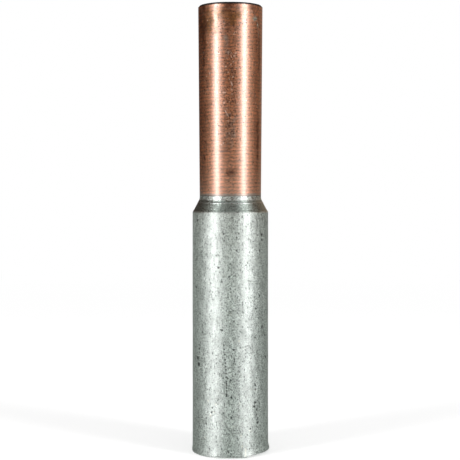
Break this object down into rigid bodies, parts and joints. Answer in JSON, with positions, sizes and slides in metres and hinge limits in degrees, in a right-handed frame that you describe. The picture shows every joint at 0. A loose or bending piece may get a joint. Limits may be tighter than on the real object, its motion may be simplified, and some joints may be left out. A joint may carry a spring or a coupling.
{
  "type": "bimetallic connector sleeve",
  "caption": "Stepped round sleeve for crimping an aluminium cable to a copper one: an aluminium barrel and a slimmer copper barrel, welded end to end, each with a blind bore.",
  "frame": {"origin": "centre of the aluminium mouth, on the plane of its end face", "axes": "+Z along the sleeve's axis, from the aluminium mouth to the copper mouth; X and Y lie in the end face, and the sleeve is round about Z"},
  "size_m": [0.0202, 0.0202, 0.1175],
  "materials": {
    "aluminium": "drawn tube, dull grey, handled and finely pitted, with a turned shoulder",
    "copper": "drawn and turned copper, semi-bright, with brown tarnish, stains and fine turning lines"
  },
  "bodies": {
    "root": {"aluminium_barrel": "aluminium", "copper_barrel": "copper"}
  },
  "joints": []
}
